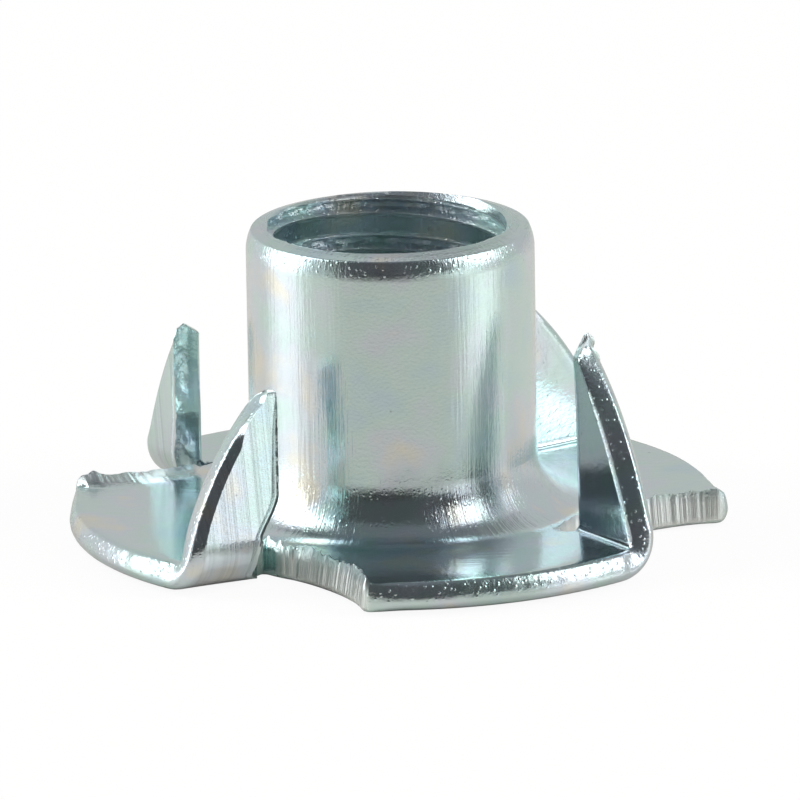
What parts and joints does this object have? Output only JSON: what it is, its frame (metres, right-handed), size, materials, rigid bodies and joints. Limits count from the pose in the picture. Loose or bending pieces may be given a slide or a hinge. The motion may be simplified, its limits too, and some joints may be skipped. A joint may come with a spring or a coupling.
{
  "type": "tee nut",
  "caption": "Pronged tee nut: a threaded barrel drawn up from a round flange, with pointed prongs folded up from the flange's edge.",
  "frame": {"origin": "centre of the flange's underside, on the barrel's axis", "axes": "+Z along the bore axis, from the flange towards the barrel's rim; X and Y lie in the flange's underside, +Y away from the viewer of the front"},
  "size_m": [0.026, 0.026, 0.0127],
  "materials": {
    "zinc_plate": "bright blue-passivated zinc plate on cold-formed mild steel"
  },
  "bodies": {
    "root": {"tee_nut": "zinc_plate"}
  },
  "joints": []
}
